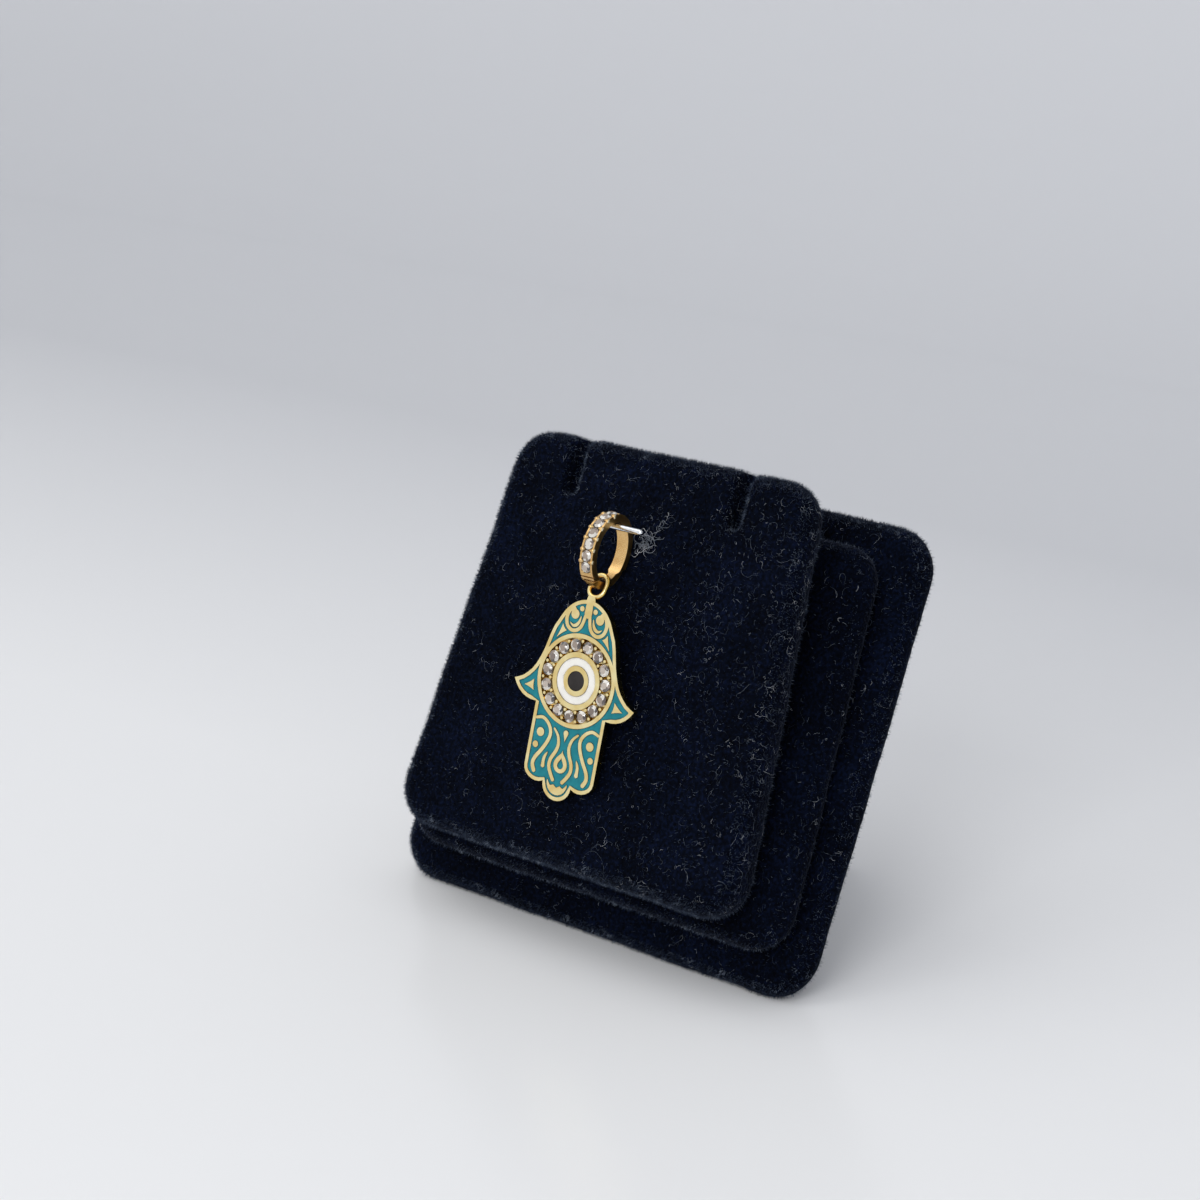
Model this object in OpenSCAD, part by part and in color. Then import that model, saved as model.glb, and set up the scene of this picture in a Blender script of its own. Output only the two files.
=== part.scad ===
// Hamsa pendant hanging on a small three-step velvet display stand.
// +X is to the right, +Y goes back, +Z is up. The origin is the middle of the footprint.
// Places on the hand are measured from the middle of its eye: x across, y up, z out of the face.

/* [Stand] */
// Width of the back board
board_w = 53; // [50:0.1:58]
// Length of the back board up its slope
board_len = 49.1; // [47:0.1:52]
// Thickness of the back board
board_t = 3; // [2.4:0.1:4.5]
// How far the back board leans back from upright, in degrees
board_lean = 27.7; // [24:0.1:30]
// Width of the middle step at its foot
step_w = 48.4; // [46:0.1:50]
// Width of the middle step at its top
step_top_w = 45; // [43:0.1:48]
// Length of the middle step up the slope
step_len = 41.8; // [39:0.2:44]
// Thickness of the middle step
step_t = 3.4; // [2.6:0.1:4.2]
// How far up the board the middle step starts
step_up = 4; // [3.2:0.1:4.8]
// Width of the front pad at its foot
pad_w = 43; // [40:0.1:46]
// Width of the front pad at its top
pad_top_w = 37.6; // [35:0.1:41]
// Length of the front pad up its face
pad_len = 43.8; // [42:0.1:46]
// How far the pad's foot sits left of the stand's middle
pad_left = 1; // [0:0.1:2]
// How far the pad's top sits left of the stand's middle
pad_top_left = 0.3; // [0:0.1:1.5]
// Thickness of the front pad at its foot
pad_t = 4.9; // [4:0.1:6]
// Thickness of the front pad at its top
pad_top_t = 3.8; // [3.4:0.1:5]
// How far the front pad's face leans back from upright, in degrees
pad_lean = 24; // [23:0.1:25.5]
// How far up the board the front pad starts
pad_up = 5.8; // [4.8:0.1:6.8]
// Radius of the board's corners, seen from the front
board_r = 5; // [3.5:0.1:6]
// Radius of the two steps' corners, seen from the front
corner_r = 4.2; // [3:0.1:5]
// Radius of the velvet edges round each face
edge_r = 1.6; // [1:0.1:1.7]
// Width of the two chain slits in the pad's top edge
slit_w = 1.6; // [0.8:0.1:2]
// Length of the chain slits down the face
slit_len = 6.2; // [4:0.1:8]
// Distance between the chain slits
slit_gap = 20.5; // [18:0.1:25]
// Distance of the slits' middle from the stand's middle, to the left
slit_left = 0.5; // [0:0.1:2]
// Depth of the chain slits into the pad
slit_deep = 2; // [1.5:0.1:2.5]
// Width of the strut behind the board
strut_w = 22; // [16:0.5:30]
// Thickness of the strut
strut_t = 3; // [2.4:0.1:5]
// Height on the board's back where the strut leans on it
strut_up = 36; // [30:0.5:40]
// Distance from the board's front edge back to the strut's foot
strut_out = 30; // [26:0.5:36]

/* [Pin] */
// Diameter of the steel pin
pin_d = 0.6; // [0.5:0.02:0.7]
// Distance from the pad's foot up to the pin
pin_up = 35.2; // [33:0.1:36]
// Radius of the pin's bend
pin_bend = 0.45; // [0.4:0.05:0.6]
// How deep the pin goes into the pad
pin_in = 2.5; // [2:0.1:3]
// How far the pin's free end stands past the bail
pin_past = 3.35; // [1:0.05:5]
// Length of the rounded nose at the pin's free end
pin_nose = 0.5; // [0.3:0.05:0.9]
// Gap between the bail's side and the start of the pin's bend
pin_side = 0.15; // [0.1:0.05:1]
// Distance of the pendant from the stand's middle, to the left
hang_left = 1.6; // [0:0.05:4]

/* [Bail] */
// Inside of the hoop, front to back
bail_in_w = 5.1; // [4.8:0.1:5.6]
// Inside of the hoop along its long way
bail_in_h = 6.3; // [6:0.1:6.6]
// Thickness of the hoop's band
bail_t = 0.8; // [0.7:0.05:1]
// Gap between the back of the hoop and the pad
bail_off = 0.15; // [0.12:0.01:0.6]
// Width of the band
bail_w = 1.55; // [1.4:0.05:1.8]
// Width of the band at the back of the hoop
bail_back_w = 1.3; // [1.1:0.05:1.4]
// Width of the band at the hoop's foot, where the loop hangs
bail_foot_w = 0.9; // [0.8:0.05:0.95]
// Height of that narrow foot
bail_foot_h = 1.2; // [1.1:0.05:1.5]
// How far the hoop leans back, in degrees
bail_lean = 28; // [24:1:32]
// Number of stones down the front of the hoop
bail_stones = 7; // [5:1:7]
// Diameter of the hoop's stones
bail_stone_d = 1; // [0.8:0.05:1.05]
// Angle between the hoop's stones, in degrees
bail_pitch = 18; // [18:0.5:20]
// Turn of the row of stones from the middle of the hoop's front up to its top, in degrees
bail_turn = 17; // [10:1:20]

/* [Hand] */
// Thickness of the gold hand
hand_t = 0.75; // [0.7:0.05:1.2]
// How far the hand has turned in its own face, in degrees
hand_roll = -0.7; // [-3:0.1:3]
// Height of the hand's top over the middle of the eye
top_y = 8.35; // [8.1:0.05:9]
// Radius of the round top
dome_r = 3.65; // [3.5:0.05:3.8]
// Half the span from thumb tip to thumb tip
thumb_x = 7.65; // [7:0.05:8.5]
// Drop of the thumb tips under the middle of the eye
thumb_drop = 1.4; // [1:0.05:1.8]
// Drop of the thumbs' lower edge under the middle of the eye
wrist_drop = 3.12; // [2.9:0.02:3.5]
// Half the width of the palm
palm_hw = 4.45; // [4.3:0.05:5]
// Drop of the outer fingertips under the middle of the eye
finger_drop = 11.27; // [10.9:0.05:11.8]
// Drop of the middle fingertip under the middle of the eye
tip_drop = 12.5; // [12.2:0.05:13]
// Half the width of the middle fingertip
tip_hw = 1.8; // [1.6:0.05:2]
// Width of the gold border
border_w = 0.38; // [0.3:0.02:0.5]
// Width of the gold lines in the enamel
line_w = 0.4; // [0.36:0.01:0.44]
// Depth of the cells that the enamel fills
cell_deep = 0.35; // [0.25:0.01:0.45]
// How far the enamel lies below the gold
enamel_low = 0.04; // [0.02:0.01:0.1]
// Outer height of the oval jump loop soldered on the top
loop_tall = 2.96; // [2.8:0.02:3.2]
// Outer width of the jump loop
loop_wide = 2.32; // [2.26:0.02:2.5]
// Diameter of the loop's wire
loop_wire = 0.5; // [0.44:0.02:0.52]
// How far the loop stands over the hand's top on its solder neck
loop_up = 0.14; // [0.05:0.01:0.3]
// Width of the solder neck at the hand
neck_w = 1.3; // [0.9:0.05:1.6]
// How far the loop leans back from upright, in degrees
loop_lean = 38; // [30:1:44]

/* [Eye] */
// Radius of the black pupil
pupil_r = 1.03; // [0.8:0.01:1.2]
// Inner radius of the white ring
white_in_r = 1.55; // [1.4:0.01:1.7]
// Outer radius of the white ring
white_r = 2.42; // [2.2:0.01:2.55]
// Inner radius of the stone channel
channel_in_r = 2.95; // [2.85:0.01:3.05]
// Outer radius of the stone channel
channel_r = 4.42; // [4.35:0.01:4.5]
// Outer radius of the gold ring round the stones
eye_r = 4.85; // [4.7:0.01:4.95]
// Depth of the stone channel
channel_deep = 0.55; // [0.5:0.01:0.65]
// Number of stones round the eye
eye_stones = 15; // [12:1:15]
// Diameter of the eye's stones
stone_d = 1.2; // [1:0.02:1.22]
// Diameter of the gold beads that hold the stones
bead_d = 0.46; // [0.36:0.02:0.48]

/* [Hidden] */
// Gap between pieces that are glued, fused or set
fit = 0.03;
// Gap between the glued steps of the stand
glue = 0.05;
// Gap between the hand's fingertip and the pad
rest_gap = 0.15;
// Running gap of the bail on the pin
hang_gap = 0.1;

// Where the stand's parts meet
// The board's soft lower edge is pressed flat by foot_flat where it stands
back_r = min(edge_r, board_t - edge_r);
foot_flat = 0.25;
board_rise = board_t * sin(board_lean) + back_r * (1 - cos(board_lean) - sin(board_lean)) - foot_flat;
pad_off = step_t + glue + pad_t;
y_front = pad_up * sin(board_lean) - pad_off * cos(board_lean);
z_pad = board_rise + pad_up * cos(board_lean) + pad_off * sin(board_lean);
strut_foot = strut_t * 1.2;
y_mid = (y_front + strut_out + strut_foot) / 2;

// Where the pendant hangs
pin_r = pin_d / 2;
bail_a = bail_in_w / 2;
bail_b = bail_in_h / 2;
// From the hoop's middle to its highest inner point, and to its back where it faces the pad
bail_rise = sqrt(pow(bail_b * cos(bail_lean), 2) + pow(bail_a * sin(bail_lean), 2));
bail_shift = (bail_b * bail_b - bail_a * bail_a) * sin(bail_lean) * cos(bail_lean) / bail_rise;
bail_reach = sqrt(pow((bail_a + bail_t) * cos(bail_lean - pad_lean), 2)
    + pow((bail_b + bail_t) * sin(bail_lean - pad_lean), 2));
pin_drop = bail_rise - pin_r - hang_gap;
pin_out = bail_reach + bail_off - bail_shift * cos(pad_lean) + pin_drop * sin(pad_lean);
pin_y = y_front + pin_up * sin(pad_lean) - pin_out * cos(pad_lean);
pin_z = z_pad + pin_up * cos(pad_lean) + pin_out * sin(pad_lean);
bail_y = pin_y - bail_shift;
bail_z = pin_z - pin_drop;
// The loop is two half rings with straight sides between them
loop_r = loop_tall / 2;
loop_mid_r = loop_r - loop_wire / 2;
loop_end_r = (loop_wide - loop_wire) / 2;
loop_side = loop_r - loop_wide / 2;
// The band's lowest inner point, which the loop hangs on
seat_y = bail_y - bail_shift;
seat_z = bail_z - bail_rise;
// The flat band lies across the loop's round end, so the loop stands this far off it
chord = loop_end_r - sqrt(pow(loop_end_r - loop_wire / 2 - hang_gap, 2) - pow(bail_foot_w / 2, 2));
hang_y = seat_y;
hang_z = seat_z + chord;
// The loop's lowest point
loop_foot_y = hang_y - (loop_mid_r + loop_r) * sin(loop_lean);
loop_foot_z = hang_z - (loop_mid_r + loop_r) * cos(loop_lean);
loop_back = 0.5 * hand_t;
// The hand leans so that the back of its middle fingertip comes to rest at the pad
drop_len = top_y + loop_up + tip_drop;
drop_back = hand_t - loop_back;
foot_off = (loop_foot_z - z_pad) * sin(pad_lean) - (loop_foot_y - y_front) * cos(pad_lean);
hand_lean = pad_lean + atan2(drop_back, drop_len) - asin((foot_off - rest_gap) / norm([drop_len, drop_back]));
// From the hang point to the middle of the eye, down the hand and out of its face
loop_bend = loop_lean - hand_lean;
eye_down = (loop_mid_r + loop_r) * cos(loop_bend) + top_y + loop_up;
eye_out = loop_back + (loop_mid_r + loop_r) * sin(loop_bend);

stone_ring_r = (channel_in_r + channel_r) / 2;
// The beads' middles stand this far in from the channel's two walls
bead_inset = 0.24;
bead_in_r = channel_in_r + bead_inset;
bead_out_r = channel_r - 1.25 * bead_inset;
// The hoop's channel, the rims beside it, its beads and the bars engraved under it
rim_w = 0.215;
groove_w = bail_w - 2 * rim_w;
groove_deep = 0.42;
bail_bead_d = 0.3;
bar_groove_w = 0.16;
bar_groove_deep = 0.14;
// How far the beads are let into their channels, and how far they stand out of them
bead_sink = 0.05;
bead_rise = 0.2;
bail_bead_rise = 0.08;
// Height of the stones' girdles over the face round them
eye_stone_up = 0.04;
bail_stone_up = -0.02;

// Curves
function bezier(a, b, c, d, n) = [for (i = [0:n]) let (t = i / n, u = 1 - t)
    u * u * u * a + 3 * u * u * t * b + 3 * u * t * t * c + t * t * t * d];
function arc(c, rx, ry, from, to, n) =
    [for (i = [0:n]) let (a = from + (to - from) * i / n) [c[0] + rx * cos(a), c[1] + ry * sin(a)]];
function mirrored(path) = [for (i = [len(path) - 1:-1:0]) [-path[i][0], path[i][1]]];
function unit(v) = v / max(norm(v), 1e-9);
function left_of(v) = [-v[1], v[0]];
// A smooth curve through every point
function through(p, n) = let (m = len(p) - 1) concat([for (i = [0:m - 1]) each let (
    a = p[max(i - 1, 0)], b = p[i], c = p[i + 1], d = p[min(i + 2, m)])
    [for (k = [0:n - 1]) let (t = k / n) 0.5 * (2 * b + (c - a) * t
        + (2 * a - 5 * b + 4 * c - d) * t * t + (3 * b - a - 3 * c + d) * t * t * t)]], [p[m]]);
// A closed outline moved inward by d, without the stretches that would fold over
function inset(path, d) = let (n = len(path)) [for (i = [0:n - 1]) let (
    run = path[(i + 1) % n] - path[(i + n - 1) % n],
    q = path[i] - d * unit([run[1], -run[0]]),
    clear = min([for (p = path) norm(p - q)]))
    if (d <= 0 || clear > d * 0.96) q];
// Width along a stroke that has one width at its start, one in the middle and one at its end
function taper(w, t) = t < 0.5 ? w[0] + (w[1] - w[0]) * sin(180 * t) : w[2] + (w[1] - w[2]) * sin(180 * t);
function stroke(path, w, grow) = let (n = len(path) - 1,
    ways = [for (i = [0:n]) unit(path[min(i + 1, n)] - path[max(i - 1, 0)])],
    half = [for (i = [0:n]) taper(w, i / n) / 2 + grow],
    heading = [for (way = ways) atan2(way[1], way[0])]) concat(
        [for (i = [0:n]) path[i] + half[i] * left_of(ways[i])],
        [for (a = [60:-60:-60]) path[n] + half[n] * [cos(heading[n] + a), sin(heading[n] + a)]],
        [for (i = [n:-1:0]) path[i] - half[i] * left_of(ways[i])],
        [for (a = [-120:-60:-240]) path[0] + half[0] * [cos(heading[0] + a), sin(heading[0] + a)]]);

// The hand's outline, drawn from the top down its right side and then mirrored.
// The flank is given as shares of the half span and of the height over the thumb tips, and the curves'
// handles as shares of the half width of the palm or fingertip.
flank = [[0.5, 0.656], [0.542, 0.554], [0.594, 0.39], [0.662, 0.248], [0.738, 0.146], [0.865, 0.05], [1, 0]];
wrist = [palm_hw, -wrist_drop];
thumb = [thumb_x, -thumb_drop];
dome_end = 32;
dome_tall = 1.15 * dome_r;
dome_mid = [0, top_y - dome_tall];
notch = [tip_hw, -finger_drop + 0.094 * palm_hw];
palm_corner = [palm_hw, 0.348 * palm_hw - finger_drop];
tip = [0, -tip_drop];
right_side = concat(
    arc(dome_mid, dome_r, dome_tall, 90, dome_end, 9),
    through([for (p = flank) thumb + [(p[0] - 1) * thumb_x, p[1] * (top_y + thumb_drop)]], 2),
    [for (i = [1:6]) bezier(thumb, thumb + palm_hw * [-0.157, -0.281],
        wrist + palm_hw * [0.315, -0.027], wrist, 6)[i]],
    [for (i = [0:7]) bezier(palm_corner, palm_corner + palm_hw * [0, -0.258],
        notch + palm_hw * [0.2135, -0.139], notch, 7)[i]],
    [for (i = [1:7]) bezier(notch, notch + tip_hw * [-0.01, -0.528], tip + tip_hw * [0.528, 0], tip, 7)[i]]);
left_side = mirrored(right_side);
around = concat(right_side, [for (i = [1:len(left_side) - 2]) left_side[i]]);
outline = [for (i = [len(around) - 1:-1:0]) around[i]];

// Places on the palm are shares of its half width and of the length under the eye
palm_len = tip_drop - eye_r;
function on_palm(p) = [p[0] * palm_hw, -eye_r - p[1] * palm_len];
// Places on the dome are shares of its radius and of the height over the eye
dome_h = top_y - eye_r;
function on_dome(p) = [p[0] * dome_r, eye_r + p[1] * dome_h];
// Places on the thumb are shares of the half span
function on_thumb(p) = p * thumb_x;

// Rows of [places along the stroke, [width at the start, in the middle, at the end] in line widths]
palm_strokes = [
    [[[0.89, -0.015], [0.71, -0.04], [0.53, 0.02], [0.43, 0.125], [0.47, 0.25], [0.60, 0.39],
      [0.74, 0.51], [0.78, 0.605], [0.71, 0.69]], [0.75, 1, 1.15]],
    [[[0.34, 0.06], [0.21, 0.14], [0.155, 0.255], [0.20, 0.36], [0.295, 0.465], [0.31, 0.57],
      [0.22, 0.67], [0.135, 0.735]], [0.55, 1, 1]],
    [[[0.42, 0.395], [0.485, 0.485], [0.485, 0.59]], [0.15, 0.85, 1.15]]];
dome_strokes = [
    [[[0.06, 0.62], [0.10, 0.40], [0.16, 0.20], [0.28, 0.07], [0.45, 0.03], [0.62, 0.13],
      [0.69, 0.33], [0.66, 0.53], [0.57, 0.68]], [0.9, 0.95, 1.25]],
    [[[0.62, 0.76], [0.52, 0.66], [0.43, 0.53]], [1.25, 1.5, 1.75]],
    [[[0.215, 0.485], [0.245, 0.33], [0.32, 0.215], [0.435, 0.17], [0.55, 0.24]], [0.15, 0.9, 0.15]]];
// Rows of [place, radius in line widths]
palm_dots = [[[0.715, 0.16], 1.15], [[0.795, 0.34], 0.85]];
dome_dots = [[[0.43, 0.51], 1.25], [[0.23, 0.71], 0.675]];
// Corners of the thorns with hollow sides
dome_thorn = [[0.78, 0.15], [0.62, -0.02], [0.92, -0.29]];
thumb_thorn = [[0.675, -0.13], [0.655, -0.278], [0.82, -0.235]];

function thorn(p, hollow) = let (mid = (p[0] + p[1] + p[2]) / 3) [for (i = [0:2]) each let (
    a = p[i], b = p[(i + 1) % 3], m = (a + b) / 2, pull = m + (mid - m) * hollow)
    [for (k = [0:2]) bezier(a, (a + 2 * pull) / 3, (b + 2 * pull) / 3, b, 3)[k]]];
// A drop with a round end at c and its point at tip_y above or below it
function drop(c, r, tip_y) = let (side = sign(tip_y - c[1]), tip = [0, abs(tip_y - c[1])] / r,
    flank = [for (i = [1:6]) bezier([0.94, 0.34], [0.6, 1.24], tip - [0, 0.6], tip, 6)[i]])
    [for (p = concat(arc([0, 0], 1, 1, 160, 380, 11), flank, [for (i = [4:-1:0]) [-flank[i][0], flank[i][1]]]))
        c + side * r * p];

module both_sides() {
    children();
    mirror([1, 0]) children();
}

// Gold ornament in the enamel field. The palm's and the dome's are drawn on the right and mirrored.
module ornament(grow = 0) {
    both_sides() {
        for (row = palm_strokes)
            polygon(stroke(through([for (p = row[0]) on_palm(p)], 3), row[1] * line_w, grow));
        for (row = dome_strokes)
            polygon(stroke(through([for (p = row[0]) on_dome(p)], 3), row[1] * line_w, grow));
        for (row = palm_dots) translate(on_palm(row[0])) circle(r = row[1] * line_w + grow, $fn = 20);
        for (row = dome_dots) translate(on_dome(row[0])) circle(r = row[1] * line_w + grow, $fn = 20);
        polygon(inset(thorn([for (p = dome_thorn) on_dome(p)], 0.35), -grow));
        polygon(inset(thorn([for (p = thumb_thorn) on_thumb(p)], 0.3), -grow));
    }
    stem(grow);
    polygon(inset(drop(on_palm([0, 0.08]), 0.75 * line_w, on_palm([0, 0.205])[1]), -grow));
    difference() {
        polygon(inset(drop(on_palm([0, 0.515]), 2.1 * line_w, on_palm([0, 0.31])[1]), -grow));
        polygon(inset(drop(on_palm([0, 0.52]), 0.95 * line_w, on_palm([0, 0.41])[1]), grow));
    }
    fingertip_crescent(grow);
}

// Upright stem between the two volutes
module stem(grow) {
    half_w = line_w + grow;
    waist = [grow + line_w / 4, 0];
    polygon([[-half_w, top_y - border_w / 2], [half_w, top_y - border_w / 2], on_dome([0.1, 0.6]) + waist,
        on_dome([0.02, 0.47]), on_dome([-0.02, 0.47]), on_dome([-0.1, 0.6]) - waist]);
}

// Crescent in the middle fingertip, with a scalloped upper edge
module fingertip_crescent(grow) {
    r = tip_hw - border_w - 0.3 * line_w;
    mid = [0, r + border_w + line_w / 2 - tip_drop];
    lower = arc(mid, r + grow, r + grow, 186, 354, 10);
    half = [[0.97, 0.06], [0.62, -0.36], [0.32, -0.22], [0, -0.42]];
    upper = concat([for (p = half) mid + r * p], [for (i = [2:-1:0]) mid + r * [-half[i][0], half[i][1]]]);
    polygon(concat(lower, [for (p = through(upper, 2)) p + [0, grow]]));
}

// The enamel field: everything inside the border and outside the eye, less the ornament
module enamel_field(gap = 0) {
    difference() {
        polygon(inset(outline, border_w + gap));
        circle(r = eye_r + gap, $fn = 96);
        ornament(gap);
    }
}

module on_board() {
    translate([0, -y_mid, board_rise]) rotate([90 - board_lean, 0, 0]) children();
}

module on_pad() {
    translate([0, y_front - y_mid, z_pad]) rotate([90 - pad_lean, 0, 0]) children();
}

module on_hand() {
    translate([-hang_left, hang_y - y_mid, hang_z]) rotate([90 - hand_lean, 0, 0])
        rotate([0, 0, hand_roll]) translate([0, -eye_down, eye_out]) children();
}

module on_bail() {
    translate([-hang_left, bail_y - y_mid, bail_z]) rotate([90, 0, 90]) rotate([0, 0, -bail_lean])
        children();
}

// One rounded corner of a slab, from z = 0 down to z = -t
module slab_corner(x, y, r, t) {
    low_r = min(edge_r, t - edge_r);
    translate([x, y, 0]) rotate_extrude($fn = 28) polygon(concat([[0, -t]],
        arc([r - low_r, low_r - t], low_r, low_r, -90, 0, 4),
        arc([r - edge_r, -edge_r], edge_r, edge_r, 0, 90, 5), [[0, 0]]));
}

// A slab with soft edges. Its face lies on z = 0 and its foot on y = 0. foot and top are rows of
// [width, thickness, distance of its middle to the left].
module slab(foot, top, length, r) {
    hull() for (side = [-1, 1]) {
        slab_corner(side * (foot[0] / 2 - r) - foot[2], r, r, foot[1]);
        slab_corner(side * (top[0] / 2 - r) - top[2], length - r, r, top[1]);
    }
}

module back_board() {
    color("#101018") intersection() {
        on_board() slab([board_w, board_t, 0], [board_w, board_t, 0], board_len, board_r);
        translate([-board_w, -board_len, 0]) cube([2 * board_w, 3 * board_len, 2 * board_len]);
    }
}

module middle_step() {
    color("#12121a") on_board() translate([0, step_up, step_t])
        slab([step_w, step_t - glue, 0], [step_top_w, step_t - glue, 0], step_len, corner_r);
}

// The front pad is glued to the step along its foot and stands a little off it at the top
module front_pad() {
    color("#14141c") difference() {
        on_pad() slab([pad_w, pad_t, pad_left], [pad_top_w, pad_top_t, pad_top_left], pad_len, corner_r);
        on_pad() {
            for (side = [-1, 1])
                translate([-slit_left + side * slit_gap / 2 - slit_w / 2, pad_len - slit_len, -slit_deep])
                    cube([slit_w, 2 * slit_len, 2 * slit_deep]);
            pin_leg(fit);
        }
    }
}

// The strut's upper end lies flat on the board's back
module strut() {
    back_y = (board_t + glue) * cos(board_lean);
    back_z = board_rise - (board_t + glue) * sin(board_lean);
    seat = [for (s = [strut_up, strut_up - 1.6 * strut_t])
        [back_y + s * sin(board_lean), back_z + s * cos(board_lean)]];
    color("#0f0f16") translate([-strut_w / 2, -y_mid, 0]) rotate([90, 0, 90]) linear_extrude(strut_w)
        polygon([seat[0], seat[1], [strut_out, 0], [strut_out + strut_foot, 0]]);
}

leg_x = -hang_left - bail_w / 2 - pin_side - pin_bend;

// The leg that goes into the pad, in the pad's frame
module pin_leg(grow = 0) {
    translate([leg_x, pin_up, -pin_in - grow])
        cylinder(r = pin_r + grow, h = pin_in + pin_out - pin_bend + grow, $fn = 32);
}

// A steel wire pin, bent to pass through the bail, with a rounded free end
module display_pin() {
    bar_len = pin_side + bail_w + pin_past;
    color("#c8ccd2") on_pad() {
        pin_leg();
        translate([leg_x + pin_bend, pin_up, pin_out - pin_bend]) rotate([90, 0, 0]) rotate([0, 0, 90])
            rotate_extrude(angle = 90, $fn = 32) translate([pin_bend, 0]) circle(r = pin_r, $fn = 32);
        translate([leg_x + pin_bend, pin_up, pin_out]) rotate([0, 90, 0]) rotate_extrude($fn = 32)
            polygon(concat([[0, 0]], [[pin_r, 0]], arc([0, bar_len - pin_nose], pin_r, pin_nose, 0, 90, 6)));
    }
}

// An oval in the hoop's own plane, bigger than its inside by d
function oval(d, n = 72) = [for (i = [0:n - 1]) let (t = 360 * i / n)
    [(bail_a + d) * cos(t), (bail_b + d) * sin(t)]];
// Places on the band's outside, counted from the middle of its front
function band_angle(i) = 180 - bail_turn + (i - (bail_stones - 1) / 2) * bail_pitch;
function band_place(a) = [(bail_a + bail_t) * cos(a), (bail_b + bail_t) * sin(a)];
function band_way(a) = atan2((bail_a + bail_t) * sin(a), (bail_b + bail_t) * cos(a));

// Children stand at height up over the band's outside at angle a, with +Z out of it
module on_band(a, up) {
    on_bail() translate(concat(band_place(a), 0)) rotate([0, 0, band_way(a)])
        rotate([0, 90, 0]) translate([0, 0, up]) children();
}

// Part of the band's outside from angle a to angle b, to the depth deep
function band_slice(a, b, deep, n) = concat(
    [for (i = [0:n]) let (t = a + (b - a) * i / n)
        [(bail_a + 2 * bail_t) * cos(t), (bail_b + 2 * bail_t) * sin(t)]],
    [for (i = [n:-1:0]) let (t = a + (b - a) * i / n)
        [(bail_a + bail_t - deep) * cos(t), (bail_b + bail_t - deep) * sin(t)]]);

// The band's room across its width, drawn upright: full width, then narrow near the hoop's lowest point
module band_room() {
    reach = bail_b + 2 * bail_t;
    foot_z = bail_foot_h - bail_rise - bail_t;
    step_h = 0.3;
    translate([-hang_left, bail_y - y_mid, bail_z]) rotate([90, 0, 0]) linear_extrude(4 * reach, center = true)
        polygon([[-bail_w, reach], [-bail_w, foot_z + step_h], [-bail_w / 2, foot_z + step_h],
            [-bail_foot_w / 2, foot_z], [-bail_foot_w / 2, -reach], [bail_foot_w / 2, -reach],
            [bail_foot_w / 2, foot_z], [bail_w / 2, foot_z + step_h], [bail_w, foot_z + step_h],
            [bail_w, reach]]);
}

// An oval hoop of flat band, narrower at its back and foot, with a channel of stones down its front
module bail() {
    reach = bail_a + bail_t;
    channel_end = band_angle(bail_stones - 0.45);
    color("#d9a648") difference() {
        union() {
            difference() {
                intersection() {
                    on_bail() translate([0, 0, -bail_w / 2]) linear_extrude(bail_w) difference() {
                        polygon(oval(bail_t));
                        polygon(oval(0));
                    }
                    on_bail() rotate([90, 0, 0]) linear_extrude(4 * bail_b, center = true)
                        polygon([[-2 * reach, -bail_w / 2], [0, -bail_w / 2], [reach, -bail_back_w / 2],
                            [reach, bail_back_w / 2], [0, bail_w / 2], [-2 * reach, bail_w / 2]]);
                    band_room();
                }
                on_bail() translate([0, 0, -groove_w / 2]) linear_extrude(groove_w)
                    polygon(band_slice(band_angle(-0.55), channel_end, groove_deep, 24));
            }
            for (i = [0:bail_stones]) for (side = [-1, 1])
                on_band(band_angle(i - 0.5), -groove_deep - bead_sink)
                    translate([side * (groove_w / 2 - bail_bead_d * 0.42), 0, 0])
                        bead(bail_bead_d, groove_deep + bead_sink + bail_bead_rise);
        }
        // Bars engraved across the band under the channel
        for (k = [1, 2]) let (a = channel_end + k * 0.4 * bail_pitch)
            on_band(a, -bar_groove_deep) translate([-bail_w, -bar_groove_w / 2, 0])
                cube([2 * bail_w, bar_groove_w, 2 * bar_groove_deep]);
    }
}

// A gold bead on a post, standing on z = 0
module bead(d, h) {
    r = d / 2;
    rotate_extrude($fn = 10) polygon([[0, 0], [r, 0], [r, h - r * 0.7], [r * 0.7, h - r * 0.15], [0, h]]);
}

// A round stone with a table, a crown and a pointed pavilion, its girdle on z = 0
module round_stone(d) {
    r = d / 2;
    edge = 0.02 * d;
    crown = 0.15 * d;
    pavilion = 0.36 * d;
    table_r = 0.6 * r;
    table = [for (i = [0:7]) [table_r * cos(45 * i), table_r * sin(45 * i), crown + edge]];
    upper = [for (i = [0:15]) [r * cos(22.5 * i), r * sin(22.5 * i), edge]];
    lower = [for (i = [0:15]) [r * cos(22.5 * i), r * sin(22.5 * i), -edge]];
    color("#e8e8f0") polyhedron(
        points = concat(table, upper, lower, [[0, 0, -pavilion]]),
        faces = concat(
            [[for (i = [7:-1:0]) i]],
            [for (i = [0:7]) each let (j = 2 * i, k = (i + 1) % 8)
                [[i, 8 + j, 8 + (j + 15) % 16], [i, 8 + (j + 1) % 16, 8 + j], [i, k, 8 + (j + 1) % 16]]],
            [for (i = [0:15]) let (k = (i + 1) % 16) [8 + i, 8 + k, 24 + k, 24 + i]],
            [for (i = [0:15]) [24 + i, 24 + (i + 1) % 16, 40]]));
}

module bail_stone(i) {
    on_band(band_angle(i - 1), bail_stone_up) round_stone(bail_stone_d);
}

module eye_stone(i) {
    a = 270 + (i - 1) * 360 / eye_stones;
    on_hand() translate([stone_ring_r * cos(a), stone_ring_r * sin(a), eye_stone_up]) rotate([0, 0, a])
        round_stone(stone_d);
}

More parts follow.
